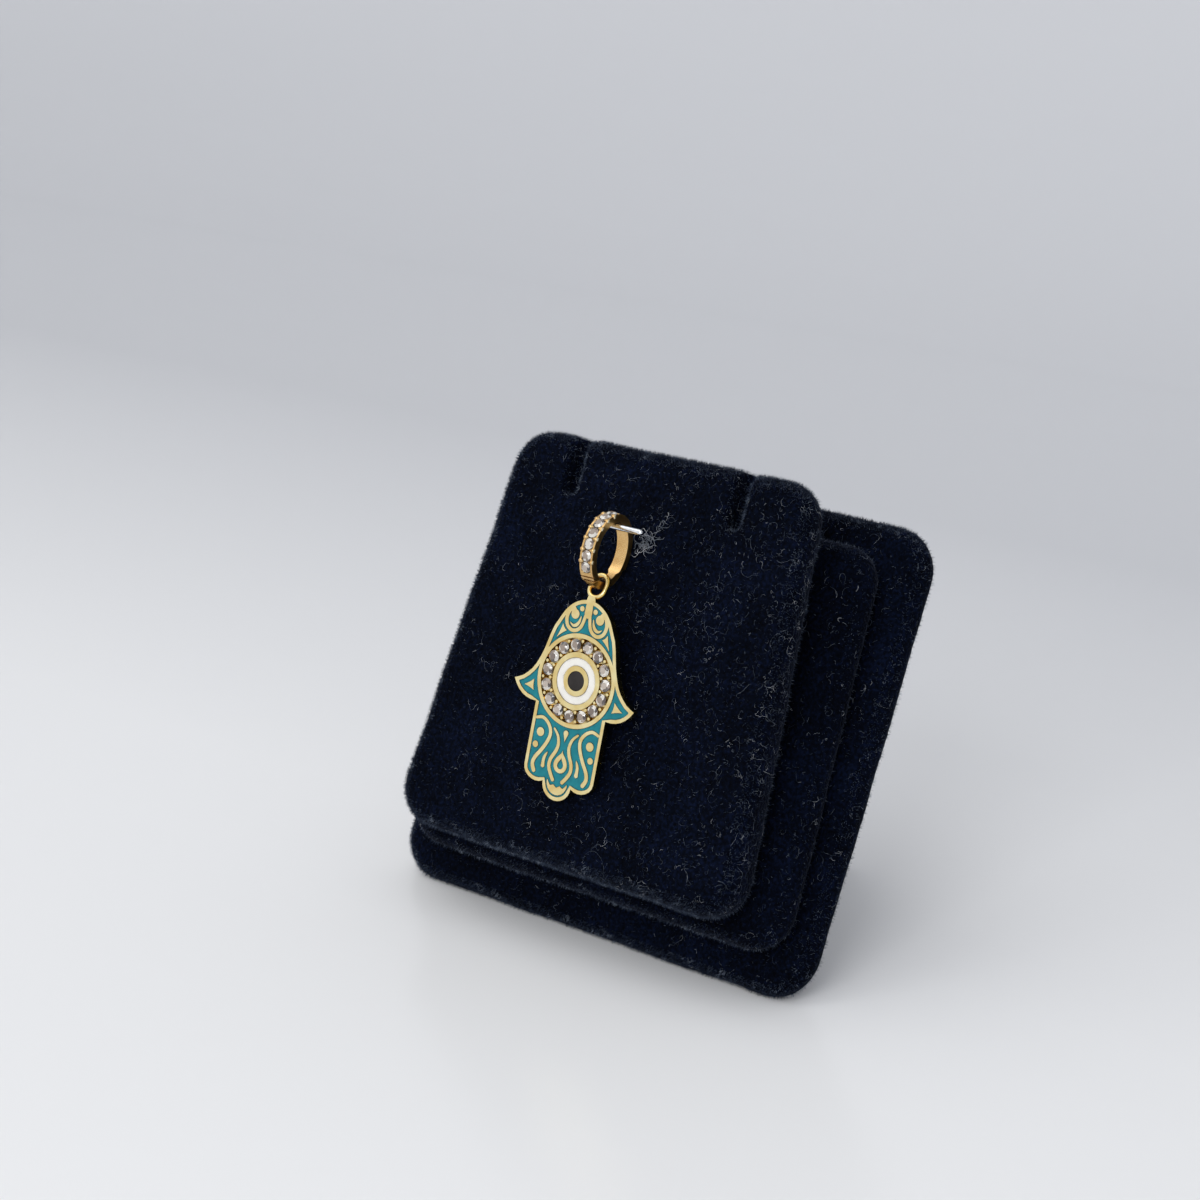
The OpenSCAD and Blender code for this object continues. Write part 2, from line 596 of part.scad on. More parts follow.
// An oval ring of wire that stands on y = 0
module jump_loop() {
    translate([0, loop_r, 0]) for (end = [-1, 1]) {
        translate([0, end * loop_side, 0]) rotate([0, 0, end * 90 - 90]) rotate_extrude(angle = 180, $fn = 40)
            translate([loop_end_r, 0]) circle(r = loop_wire / 2, $fn = 16);
        translate([end * loop_end_r, -loop_side, 0]) rotate([-90, 0, 0])
            cylinder(r = loop_wire / 2, h = 2 * loop_side, $fn = 16);
    }
}

// A flat drop of solder from inside the hand's top, at y = 0, up to the loop's wire
module solder_neck() {
    sink = 0.45;
    rise = loop_up + 0.6 * loop_wire;
    neck_t = 0.8 * hand_t;
    top_hw = 0.33 * neck_w;
    translate([0, 0, -neck_t / 2]) linear_extrude(neck_t)
        polygon([[-neck_w / 2, -sink], [neck_w / 2, -sink], [top_hw, rise], [-top_hw, rise]]);
}

// The hand with its border, ornament, eye rings, bead settings and soldered loop, all one gold casting
module hand() {
    color("#e0b050") on_hand() {
        difference() {
            union() {
                translate([0, 0, -hand_t]) linear_extrude(hand_t - cell_deep) polygon(outline);
                translate([0, 0, -cell_deep]) linear_extrude(cell_deep) difference() {
                    polygon(outline);
                    enamel_field();
                }
            }
            translate([0, 0, -channel_deep]) rotate_extrude($fn = 96)
                translate([channel_in_r, 0]) square([channel_r - channel_in_r, 2 * channel_deep]);
            translate([0, 0, -cell_deep]) rotate_extrude($fn = 96)
                translate([white_in_r, 0]) square([white_r - white_in_r, 2 * cell_deep]);
            translate([0, 0, -cell_deep]) cylinder(r = pupil_r, h = 2 * cell_deep, $fn = 64);
        }
        for (i = [0:eye_stones - 1]) for (r = [bead_in_r, bead_out_r])
            rotate([0, 0, 270 + (i + 0.5) * 360 / eye_stones]) translate([r, 0, -channel_deep - bead_sink])
                bead(bead_d, channel_deep + bead_rise - bead_sink);
        translate([0, top_y + loop_up, -loop_back]) rotate([-loop_bend, 0, 0]) jump_loop();
        translate([0, top_y, -loop_back]) solder_neck();
    }
}

// Fills the cells of the hand and lies a little below the gold
module enamel_layer() {
    translate([0, 0, fit - cell_deep]) linear_extrude(cell_deep - enamel_low - fit) children();
}

module teal_enamel() {
    color("#1c8790") on_hand() enamel_layer() enamel_field(fit);
}

module white_enamel() {
    color("#f4f2ee") on_hand() enamel_layer() difference() {
        circle(r = white_r - fit, $fn = 96);
        circle(r = white_in_r + fit, $fn = 96);
    }
}

module black_enamel() {
    color("#201a18") on_hand() enamel_layer() circle(r = pupil_r - fit, $fn = 64);
}

back_board();
middle_step();
front_pad();
strut();
display_pin();
bail();
hand();
teal_enamel();
white_enamel();
black_enamel();
for (i = [1:bail_stones]) bail_stone(i);
for (i = [1:eye_stones]) eye_stone(i);
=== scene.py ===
"""Looks of a hamsa pendant that hangs on a small velvet display stand of three sloping steps."""

import math
import random

import bmesh
import bpy
import numpy as np
from mathutils import Matrix, Vector, noise
from mathutils.bvhtree import BVHTree


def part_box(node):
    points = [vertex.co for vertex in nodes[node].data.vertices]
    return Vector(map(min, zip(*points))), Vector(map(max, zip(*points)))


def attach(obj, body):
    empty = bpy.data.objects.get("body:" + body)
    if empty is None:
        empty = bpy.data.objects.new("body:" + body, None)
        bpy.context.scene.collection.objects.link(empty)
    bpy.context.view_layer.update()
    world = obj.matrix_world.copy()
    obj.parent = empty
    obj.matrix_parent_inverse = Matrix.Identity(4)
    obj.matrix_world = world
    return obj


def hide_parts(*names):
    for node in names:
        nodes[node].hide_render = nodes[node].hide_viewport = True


MM = 0.001
THIRD_TURN = 2 * math.pi / 3
STONES_ON_BAIL = 7
STONES_ON_EYE = 15

# Where a Mix node takes its factor, its two numbers and its two colours, and where it gives its colour
FACTOR, NUMBER_A, NUMBER_B, COLOUR_A, COLOUR_B, COLOUR_OUT = 0, 2, 3, 6, 7, 2

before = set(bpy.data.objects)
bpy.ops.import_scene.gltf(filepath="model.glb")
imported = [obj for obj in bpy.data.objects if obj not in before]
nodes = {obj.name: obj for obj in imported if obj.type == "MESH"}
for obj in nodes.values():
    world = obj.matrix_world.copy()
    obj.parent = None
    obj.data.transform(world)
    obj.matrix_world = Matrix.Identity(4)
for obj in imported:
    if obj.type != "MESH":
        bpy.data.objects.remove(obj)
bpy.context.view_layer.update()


# Colour and shader helpers


def linear(hexcode):
    """An sRGB hex colour as linear RGBA."""
    parts = [int(hexcode[i : i + 2], 16) / 255 for i in (1, 3, 5)]
    return [c / 12.92 if c <= 0.04045 else ((c + 0.055) / 1.055) ** 2.4 for c in parts] + [1.0]


def add(tree, kind, settings=None, links=None, out=0):
    """A new shader node of this kind. settings are its attributes, its sockets by name or number, or its
    ramp's stops of (position, hex colour), and links are what feeds its sockets. Gives its output out."""
    made = tree.nodes.new("ShaderNode" + kind)
    for key, value in (settings or {}).items():
        if key == "stops":
            elements = made.color_ramp.elements
            while len(elements) < len(value):
                elements.new(0.5)
            for element, (place, hexcode) in zip(elements, value):
                element.position = place
                element.color = linear(hexcode)
        elif isinstance(key, str) and hasattr(made, key):
            setattr(made, key, value)
        else:
            made.inputs[key].default_value = value
    for key, socket in (links or {}).items():
        tree.links.new(socket, made.inputs[key])
    return made.outputs[out] if made.outputs else None


def material(name, recipe, *choices):
    """A node material whose shader is what recipe makes of these choices."""
    made = bpy.data.materials.new(name)
    made.use_nodes = True
    tree = made.node_tree
    tree.nodes.clear()
    add(tree, "OutputMaterial", links={"Surface": recipe(tree, *choices)})
    return made


def grain(tree, size_mm, detail=2.0, stretch=(1, 1, 1)):
    """Noise over the object's own coordinates, with lumps of about size_mm."""
    place = add(tree, "TexCoord", out="Object")
    scaled = add(tree, "Mapping", {"Scale": stretch}, {"Vector": place})
    settings = {"Scale": 1 / (size_mm * MM), "Detail": detail}
    return add(tree, "TexNoise", settings, {"Vector": scaled}, "Fac")


def facing(tree, way):
    """How squarely the surface faces along way in the object's own frame: 1 straight on, 0 for a wall."""
    out = add(tree, "TexCoord", out="Normal")
    along = add(tree, "VectorMath", {"operation": "DOT_PRODUCT", 1: way}, {0: out}, "Value")
    return add(tree, "Math", {"operation": "ABSOLUTE"}, {0: along})


def openness(tree, reach_mm, shut, clear):
    """0 where walls within reach_mm leave no more than the share shut of the view, 1 from clear on."""
    share = add(tree, "AmbientOcclusion", {"samples": 8, "Distance": reach_mm * MM}, out="AO")
    return add(tree, "MapRange", {"From Min": shut, "From Max": clear}, {"Value": share})


# Materials


def velvet(tree):
    """Blue-black cotton velvet: matt, mottled where the pile is brushed, with a grey bloom at its edges.
    Its tufts are 0.35 mm apart. The fibre ends in a tuft are 0.02 mm apart, and are drawn seven times as
    coarse so that they show."""
    brushed = grain(tree, 6.0, detail=4.0)
    tufts = grain(tree, 0.35, detail=3.0)
    settings = {"data_type": "FLOAT", "Factor": 0.68}
    mottled = add(tree, "Mix", settings, {NUMBER_A: brushed, NUMBER_B: tufts})
    stops = [(0.34, "#010206"), (0.5, "#040814"), (0.66, "#0b1328")]
    colour = add(tree, "ValToRGB", {"stops": stops}, {"Fac": mottled})
    rough = add(tree, "Bump", {"Strength": 0.9, "Distance": 0.25 * MM}, {"Height": tufts})
    links = {"Height": grain(tree, 0.14), "Normal": rough}
    fine = add(tree, "Bump", {"Strength": 0.7, "Distance": 0.1 * MM}, links)
    settings = {"Roughness": 0.95, "Specular IOR Level": 0.04, "Sheen Weight": 0.2,
                "Sheen Roughness": 0.26, "Sheen Tint": linear("#8a93a8")}
    return add(tree, "BsdfPrincipled", settings, {"Base Color": colour, "Normal": fine})


def velvet_fibre_sheen(tree):
    """Single cut pile fibres, the same cotton seen one by one, painted paler than the velvet as a painted
    sheen.
    """
    # Fibres painted far paler than the velvet, as a painted sheen along its edges and outline
    stops = [(0.36, "#1a2130"), (0.55, "#384253"), (0.72, "#7c8694")]
    colour = add(tree, "ValToRGB", {"stops": stops}, {"Fac": grain(tree, 0.9, detail=3.0)})
    settings = {"Roughness": 0.8, "Specular IOR Level": 0.12}
    return add(tree, "BsdfPrincipled", settings, {"Base Color": colour})


def lint(tree, dark, middle, pale):
    """Loose cotton lint: hair-thin grey-white fibres, some paler than others."""
    stops = [(0.36, dark), (0.54, middle), (0.68, pale)]
    colour = add(tree, "ValToRGB", {"stops": stops}, {"Fac": grain(tree, 1.4, detail=3.0)})
    settings = {"Roughness": 0.75, "Specular IOR Level": 0.2}
    return add(tree, "BsdfPrincipled", settings, {"Base Color": colour})


def gold(tree, way, face_tones, face_roughness, wall_tones, wall_roughness, highlight_below=1.0):
    """Yellow gold plate over a casting. The faces across way have one finish, satin or polished, and the
    walls along it the other. Edges are painted paler as a painted highlight up to the height that the
    last argument gives in metres, and recesses are painted dark brown as painted shade. Finishing marks
    are
    0.04 mm apart, and are drawn three times as coarse so that they show."""
    marks = grain(tree, 0.12, detail=4.0)
    patches = grain(tree, 1.6, detail=3.0)
    turn = facing(tree, way)
    face = add(tree, "MapRange", {"From Min": 0.55, "From Max": 0.92}, {"Value": turn})
    # Pale tone painted on the edges as a painted highlight
    painted_highlight_tones = ("#efe2b4", "#f9f0cf")
    wall_tone, face_tone, painted_highlight_tone = [
        add(tree, "ValToRGB", {"stops": [(0.35, dark), (0.65, light)]}, {"Fac": patches})
        for dark, light in (wall_tones, face_tones, painted_highlight_tones)
    ]
    links = {FACTOR: face, COLOUR_A: wall_tone, COLOUR_B: face_tone}
    tone = add(tree, "Mix", {"data_type": "RGBA"}, links, COLOUR_OUT)

    # An edge is what faces neither along way nor across it, and is painted paler there as a painted
    # highlight
    stops = [(0.5, "#000000"), (0.7, "#ffffff"), (0.9, "#ffffff"), (0.98, "#000000")]
    edge = add(tree, "ValToRGB", {"stops": stops}, {"Fac": turn})
    height = add(tree, "SeparateXYZ", links={"Vector": add(tree, "TexCoord", out="Object")}, out="Z")
    low = add(tree, "Math", {"operation": "LESS_THAN", 1: highlight_below}, {0: height})
    painted_edge_highlight = add(tree, "Math", {"operation": "MULTIPLY"}, {0: edge, 1: low})
    links = {FACTOR: painted_edge_highlight, COLOUR_A: tone, COLOUR_B: painted_highlight_tone}
    tone = add(tree, "Mix", {"data_type": "RGBA"}, links, COLOUR_OUT)

    # Recesses painted dark brown where the walls around them leave little open: painted shade
    recess_shade = add(tree, "ValToRGB", {"stops": [(0.3, "#4a3014"), (0.7, "#6b4a20")]}, {"Fac": marks})
    links = {FACTOR: openness(tree, 0.45, shut=0.12, clear=0.5), COLOUR_A: recess_shade, COLOUR_B: tone}
    tone = add(tree, "Mix", {"data_type": "RGBA"}, links, COLOUR_OUT)

    smoother, rougher = 0.05, 0.06
    wall_rough, face_rough = [
        add(tree, "MapRange", {"To Min": even - smoother, "To Max": even + rougher}, {"Value": marks})
        for even in (wall_roughness, face_roughness)
    ]
    links = {FACTOR: face, NUMBER_A: wall_rough, NUMBER_B: face_rough}
    rough = add(tree, "Mix", {"data_type": "FLOAT"}, links)
    dents = add(tree, "Bump", {"Strength": 0.35, "Distance": 0.007 * MM}, {"Height": marks})
    links = {"Base Color": tone, "Roughness": rough, "Normal": dents}
    return add(tree, "BsdfPrincipled", {"Metallic": 1.0}, links)


def enamel(tree, edge, dark, light, roughness):
    """Vitreous enamel stoned level with the metal: opaque glass with an even, slightly soft gloss, and
    a thin dark line of painted shade where it meets the gold."""
    clouds = grain(tree, 0.9, detail=4.0)
    body = add(tree, "ValToRGB", {"stops": [(0.3, dark), (0.7, light)]}, {"Fac": clouds})
    # A thin line of painted shade where the enamel meets the gold walls
    line = add(tree, "ValToRGB", {"stops": [(0.3, edge), (0.7, dark)]}, {"Fac": grain(tree, 0.9)})
    links = {FACTOR: openness(tree, 0.3, shut=0.86, clear=0.99), COLOUR_A: line, COLOUR_B: body}
    tone = add(tree, "Mix", {"data_type": "RGBA"}, links, COLOUR_OUT)
    ripple = add(tree, "Bump", {"Strength": 0.25, "Distance": 0.03 * MM}, {"Height": grain(tree, 0.7)})
    settings = {"Roughness": roughness, "IOR": 1.52, "Specular IOR Level": 0.2}
    return add(tree, "BsdfPrincipled", settings, {"Base Color": tone, "Normal": ripple})


def cut_stone(tree):
    """Clear cut stones: high index glass. Its facets flash white, lilac grey or dark by what they throw
    back, which the flash value of each facet gives."""
    flash = add(tree, "Attribute", {"attribute_name": "flash"}, out="Fac")
    stops = [(0.0, "#1f140d"), (0.3, "#6e594b"), (0.6, "#b9a491"), (0.85, "#fffaf0")]
    tone = add(tree, "ValToRGB", {"stops": stops}, {"Fac": flash})
    settings = {"Roughness": 0.03, "IOR": 2.1, "Transmission Weight": 0.3}
    return add(tree, "BsdfPrincipled", settings, {"Base Color": tone})


def steel(tree):
    """Polished steel wire with drawing marks along it, which is along X. They are 0.03 mm apart, and are
    drawn ten times as coarse so that they show."""
    marks = grain(tree, 0.3, detail=3.0, stretch=(0.2, 1, 1))
    stops = [(0.3, "#d6d9de"), (0.7, "#f0f2f5")]
    tone = add(tree, "ValToRGB", {"stops": stops}, {"Fac": grain(tree, 1.0)})
    rough = add(tree, "MapRange", {"To Min": 0.08, "To Max": 0.2}, {"Value": marks})
    drawn = add(tree, "Bump", {"Strength": 0.2, "Distance": 0.01 * MM}, {"Height": marks})
    links = {"Base Color": tone, "Roughness": rough, "Normal": drawn}
    return add(tree, "BsdfPrincipled", {"Metallic": 1.0}, links)


def laminate(tree):
    """White table laminate with a soft gloss and a faint wave, and painted shade a little darker behind
    the stand.
    """
    back = add(tree, "SeparateXYZ", links={"Vector": add(tree, "TexCoord", out="Object")}, out="Y")
    # Darker band behind the stand is painted shade
    painted_shade_depth = add(tree, "MapRange", {"From Max": 0.4}, {"Value": back})
    stops = [(0.0, "#f0f0f0"), (0.35, "#cfd0d3"), (1.0, "#e0e1e4")]
    tone = add(tree, "ValToRGB", {"stops": stops}, {"Fac": painted_shade_depth})
    waves = grain(tree, 25.0, detail=1.0)
    wave = add(tree, "Bump", {"Strength": 0.1, "Distance": 0.2 * MM}, {"Height": waves})
    settings = {"Roughness": 0.22, "Specular IOR Level": 0.35}
    return add(tree, "BsdfPrincipled", settings, {"Base Color": tone, "Normal": wave})


# Mesh helpers


def linked(name, data):
    """A new object of a mesh, light or camera, in the scene."""
    made = bpy.data.objects.new(name, data)
    bpy.context.scene.collection.objects.link(made)
    return made


def from_parts(name, points, faces, finish, smooth=True):
    """A new object from points and faces."""
    mesh = bpy.data.meshes.new(name)
    mesh.from_pydata(points, [], faces)
    mesh.materials.append(finish)
    if smooth:
        mesh.shade_smooth()
    return linked(name, mesh)


def applied(obj):
    """obj with its modifiers made real."""
    bpy.context.view_layer.update()
    evaluated = obj.evaluated_get(bpy.context.evaluated_depsgraph_get())
    mesh = bpy.data.meshes.new_from_object(evaluated)
    obj.modifiers.clear()
    old = obj.data
    obj.data = mesh
    bpy.data.meshes.remove(old)
    return obj


def lumps(point, size_mm, seed):
    """Smooth noise from -1 to 1 with lumps of size_mm."""
    return noise.noise(Vector(point) / (size_mm * MM) + Vector((seed, 2.3 * seed, 0.7)))


def any_way(rng):
    """A random direction."""
    return Vector([rng.gauss(0, 1) for _ in range(3)]).normalized()


def surface_points(obj, count, rng, out, share):
    """Random (point, normal) pairs over a mesh, with only a share of them on its flat faces, whose
    normals lie along out."""
    flat = 0.97
    mesh = obj.data
    mesh.calc_loop_triangles()
    edges = np.cumsum([t.area * (share if abs(t.normal.dot(out)) > flat else 1.0)
                       for t in mesh.loop_triangles])
    found = []
    for _ in range(count):
        tri = mesh.loop_triangles[int(np.searchsorted(edges, rng.random() * edges[-1]))]
        a, b, c = [mesh.vertices[i].co for i in tri.vertices]
        u, v = rng.random(), rng.random()
        if u + v > 1:
            u, v = 1 - u, 1 - v
        found.append((a + (b - a) * u + (c - a) * v, tri.normal.copy()))
    return found


# Velvet steps

VELVET = material("velvet", velvet)
SHEEN_FIBRE = material("velvet_fibre_sheen", velvet_fibre_sheen)
LINT = material("lint", lint, "#2a323f", "#727c8a", "#e3e7ec")
LINT_TUFT = material("lint_tuft", lint, "#6c7580", "#b6bcc5", "#ffffff")

# The steps' faces look out this way: forward, and up by their lean
BOARD_LEAN = math.radians(27.7)
PAD_LEAN = math.radians(24)
BOARD_OUT = Vector((0, -math.cos(BOARD_LEAN), math.sin(BOARD_LEAN)))
PAD_OUT = Vector((0, -math.cos(PAD_LEAN), math.sin(PAD_LEAN)))

# The cloth's unevenness: height and lump size in mm, and what is added to the seed
UNEVEN = ((0.1, 7.0, 0), (0.04, 1.8, 5), (0.03, 0.7, 9))

# Pile fibres in mm. A cotton fibre is 0.02 mm thick, and these are drawn nearly three times as thick so
# that they show
PILE_LENGTH = (0.2, 0.48)
PILE_RADIUS = 0.027
PILE_ROOT = 0.05
# The share of the pile that flat faces carry, the share left off a right-hand side so that it stays
# darker, as painted shade, and how far the fibres splay and droop
PILE_ON_FLAT = 0.04
PILE_OFF_RIGHT_SHADE = 0.95
PILE_SPLAY = 0.55
PILE_DROOP = Vector((0, 0, -0.12))

# Lint fibres in mm, at a cotton fibre's real thickness. The share LONG_LINT of them are long
LINT_LENGTH = (0.25, 0.9)
LINT_RADIUS = (0.0035, 0.0105)
LINT_LIFT = (0.02, 0.12)
LONG_LINT = 0.2
LONG_LENGTH = (0.9, 2.8)
LONG_RADIUS = (0.0035, 0.009)
# The share of lint that is specks, and their radius in mm
SPECKS = 0.06
SPECK_RADIUS = (0.012, 0.03)
# How thickly the lint lies: its share on flat faces, its share everywhere, what each mm to the right and
# up adds, and what patches of a size in mm add
LINT_ON_FLAT = 0.6
CROWD = 0.3
CROWD_RIGHT = 0.015
CROWD_UP = 0.006
CROWD_PATCHES = 0.6
PATCH_SIZE = 4.0

# A tuft of lint caught by the pin's free end, in mm: places along it from there, how far from that line
# its fibres start, and their length, lift and radius. Each is a few cotton fibres twisted together
TUFT_LINE = [(-0.3, 4.8, 0.4), (-0.8, 4.5, -0.9), (-1.3, 4.2, -1.9), (-1.9, 3.9, -2.7), (-2.4, 3.7, -3.2)]
TUFT_FIBRES = 50
TUFT_SPREAD = 0.22
TUFT_LENGTH = (0.8, 2.2)
TUFT_LIFT = (0.2, 0.7)
TUFT_RADIUS = (0.012, 0.026)


def soft_slab(name, cad, voxel_mm, seed):
    """A velvet-covered step: the CAD slab with its edges rounded off and its cloth a little uneven."""
    mesh = nodes[cad].data.copy()
    mesh.materials.clear()
    mesh.materials.append(VELVET)
    made = linked(name, mesh)
    remesh = made.modifiers.new("even", "REMESH")
    remesh.mode = "VOXEL"
    remesh.voxel_size = voxel_mm * MM
    soften = made.modifiers.new("soften", "SMOOTH")
    soften.factor = 0.5
    soften.iterations = 5
    applied(made)
    mesh = made.data
    mesh.shade_smooth()
    for vertex, normal in zip(mesh.vertices, [n.vector.copy() for n in mesh.vertex_normals]):
        push = sum(height * lumps(vertex.co, size, seed + more) for height, size, more in UNEVEN)
        vertex.co += normal * push * MM
        vertex.co.z = max(vertex.co.z, 0.0)
    return made


def pile(name, obj, out, count, seed):
    """Short cut fibres that stand on the velvet and soften its outline, painted paler than it as a
    painted sheen. The flat faces carry few, since their pile is seen end on, and the right-hand sides
    lose much of it so that they stay darker, as painted shade."""
    rng = random.Random(seed)
    points, faces = [], []
    for point, normal in surface_points(obj, count, rng, out, PILE_ON_FLAT):
        # Right-hand sides lose many of these pale fibres so that they stay darker: painted shade
        if rng.random() < PILE_OFF_RIGHT_SHADE * normal.x:
            continue
        way = (normal + PILE_SPLAY * any_way(rng) + PILE_DROOP).normalized()
        tip = point + way * rng.uniform(*PILE_LENGTH) * MM
        if tip.z < 0:
            continue
        side = way.orthogonal().normalized() * PILE_RADIUS * MM
        foot = point - normal * PILE_ROOT * MM
        k = len(points)
        for turn in range(3):
            points.append(foot + Matrix.Rotation(THIRD_TURN * turn, 3, way) @ side)
        points.append(tip)
        faces += [(k, k + 1, k + 3), (k + 1, k + 2, k + 3), (k + 2, k, k + 3), (k + 2, k + 1, k)]
    return from_parts(name, points, faces, SHEEN_FIBRE, smooth=False)


def strand(points, faces, path, radius):
    """A closed three-sided thread along path, thinner at both ends."""
    thin_end = 0.4
    first = len(points)
    last = len(path) - 1
    for i, place in enumerate(path):
        way = (path[min(i + 1, last)] - path[max(i - 1, 0)]).normalized()
        across = way.orthogonal().normalized() * radius * (thin_end if i in (0, last) else 1.0)
        for turn in range(3):
            points.append(place + Matrix.Rotation(THIRD_TURN * turn, 3, way) @ across)
    for i in range(last):
        k = first + 3 * i
        for one, two in ((0, 1), (1, 2), (2, 0)):
            faces.append((k + one, k + two, k + 3 + two, k + 3 + one))
    k = first + 3 * last
    faces += [(first + 2, first + 1, first), (k, k + 1, k + 2)]


def fibre_path(tree, point, normal, length, lift, rng):
    """A curly line that creeps over a surface from point, lifted in its middle."""
    least_steps, more_steps, step = 4, 6, 0.3 * MM
    clear = 0.04 * MM
    first_turn, keep_turn, new_turn = 0.4, 0.75, 0.5
    count = least_steps + min(more_steps, int(length / step))
    way = normal.cross(any_way(rng)).normalized()
    turn = rng.gauss(0, first_turn)
    path = []
    for i in range(count + 1):
        foot, face, _, _ = tree.find_nearest(point)
        path.append(foot + face * (clear + lift * math.sin(math.pi * i / count)))
        turn = keep_turn * turn + rng.gauss(0, new_turn)
        way = (Matrix.Rotation(turn, 3, face) @ way).normalized()
        point = foot + way * length / count
    return path


def lint_on(name, obj, out, count, seed):
    """Hair-thin curly lint and a few specks on the velvet, more of it up, to the right and at edges."""
    rng = random.Random(seed)
    tree = BVHTree.FromObject(obj, bpy.context.evaluated_depsgraph_get())
    points, faces = [], []
    for point, normal in surface_points(obj, count, rng, out, LINT_ON_FLAT):
        crowd = CROWD + CROWD_RIGHT * point.x / MM + CROWD_UP * point.z / MM
        crowd += CROWD_PATCHES * lumps(point, PATCH_SIZE, seed)
        at_back = normal.dot(out) < -0.1
        if at_back or rng.random() > crowd:
            continue
        if rng.random() < SPECKS:
            size = rng.uniform(*SPECK_RADIUS) * MM
            strand(points, faces, [point + normal * size, point + normal * 2 * size], size)
            continue
        length, radius = rng.uniform(*LINT_LENGTH) * MM, rng.uniform(*LINT_RADIUS) * MM
        if rng.random() < LONG_LINT:
            length, radius = rng.uniform(*LONG_LENGTH) * MM, rng.uniform(*LONG_RADIUS) * MM
        path = fibre_path(tree, point, normal, length, rng.uniform(*LINT_LIFT) * MM, rng)
        strand(points, faces, path, radius)
    return from_parts(name, points, faces, LINT)


def lint_tuft(name, obj, knots, count, seed):
    """A loose tangle of lint strung out along knots, which are places near the velvet, and thicker
    towards the last of them."""
    rng = random.Random(seed)
    tree = BVHTree.FromObject(obj, bpy.context.evaluated_depsgraph_get())
    points, faces = [], []
    for _ in range(count):
        k = max(rng.randrange(len(knots) - 1), rng.randrange(len(knots) - 1))
        start = knots[k].lerp(knots[k + 1], rng.random()) + TUFT_SPREAD * MM * rng.random() * any_way(rng)
        foot, normal, _, _ = tree.find_nearest(start)
        length, lift = rng.uniform(*TUFT_LENGTH) * MM, rng.uniform(*TUFT_LIFT) * MM
        path = fibre_path(tree, foot, normal, length, lift, rng)
        strand(points, faces, path, rng.uniform(*TUFT_RADIUS) * MM)
    return from_parts(name, points, faces, LINT_TUFT)


# The name, voxel in mm, seed, way out, pile fibres and lint fibres of the velvet piece for each CAD slab
# The middle step gets fewer pale pile fibres so that it stays darker, as painted shade
STEPS = {
    "front_pad": ("velvet_front", 0.42, 1, PAD_OUT, 44000, 9200),
    "middle_step": ("velvet_middle", 0.5, 2, BOARD_OUT, 13000, 3200),
    "back_board": ("velvet_back", 0.5, 3, BOARD_OUT, 38000, 5200),
    "strut": ("velvet_strut", 0.6, 4, BOARD_OUT, 3000, 80),
}
LINT_SEED = 20
TUFT_SEED = 31
for cad, (name, voxel, seed, out, fibres, strands) in STEPS.items():
    cloth = soft_slab(name, cad, voxel, seed)
    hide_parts(cad)
    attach(cloth, "stand")
    extras = [pile(name + "_pile", cloth, out, fibres, seed),
              lint_on(name + "_lint", cloth, out, strands, seed + LINT_SEED)]
    if cad == "front_pad":
        low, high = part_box("display_pin")
        pin_end = Vector((high.x, low.y, high.z))
        knots = [pin_end + Vector(place) * MM for place in TUFT_LINE]
        extras.append(lint_tuft("velvet_tuft", cloth, knots, TUFT_FIBRES, TUFT_SEED))
    for extra in extras:
        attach(extra, "stand")


# Metal and enamel


def stone_frame(name):
    """Middle of a CAD stone's girdle, its way out of the setting, and its radius, from its own points."""
    pts = np.array([v.co for v in nodes[name].data.vertices])
    # Points within 0.0001 mm of each other count once, and those far out from the axis are the girdle's
    pts = np.unique(np.round(pts, 7), axis=0)
    mean = pts.mean(axis=0)
    axis = np.linalg.svd(pts - mean)[2][2]
    height = (pts - mean) @ axis
    if abs(height.min()) < abs(height.max()):
        axis, height = -axis, -height
    flat = (pts - mean) - np.outer(height, axis)
    far = np.linalg.norm(flat, axis=1)
    girdle = pts[far > 0.9 * far.max()]
    centre = girdle.mean(axis=0)
    radius = np.linalg.norm(girdle - centre, axis=1).max()
    return Vector(centre), Vector(axis), float(radius)


def dress(name, finish, bevel_mm=0.0):
    """A CAD node in its finish, with its sharp edges broken by a small bevel."""
    obj = nodes[name]
    obj.data.materials.clear()
    obj.data.materials.append(finish)
    if bevel_mm:
        edge = obj.modifiers.new("edge", "BEVEL")
        edge.width = bevel_mm * MM
        edge.segments = 2
        edge.limit_method = "ANGLE"
        edge.angle_limit = math.radians(50)
        edge.use_clamp_overlap = True
        edge.harden_normals = True


# The hand's face is satin and its walls, beads and loop are polished, the loop with no painted edge
# highlight. The hoop's two sides are polished and its band is satin.
HAND_OUT = tuple(stone_frame("eye_stone_1")[1])
HOOP_SIDE = (1, 0, 0)
LOOP_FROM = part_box("teal_enamel")[1].z + 0.55 * MM
GOLD_BAIL = material("gold_bail", gold, HOOP_SIDE,
                     ("#bf9452", "#d8ae6a"), 0.34, ("#cda46a", "#e2bd82"), 0.26)
GOLD_HAND = material("gold_hand", gold, HAND_OUT,
                     ("#dfc582", "#eddfaa"), 0.3, ("#dba944", "#f2cd66"), 0.1, LOOP_FROM)
dress("hand", GOLD_HAND, 0.07)
dress("bail", GOLD_BAIL, 0.06)
# Each enamel's first colour is the painted shade at its edge against the gold
dress("teal_enamel", material("teal_enamel", enamel, "#141c12", "#14727d", "#1d848e", 0.22))
dress("white_enamel", material("white_enamel", enamel, "#7a6440", "#ebe8e0", "#f4f1ea", 0.22))
dress("black_enamel", material("black_enamel", enamel, "#0c0a09", "#2a2625", "#353130", 0.2))
dress("display_pin", material("steel", steel))
nodes["display_pin"].data.shade_smooth()


# Stones

STONE = material("cut_stone", cut_stone)

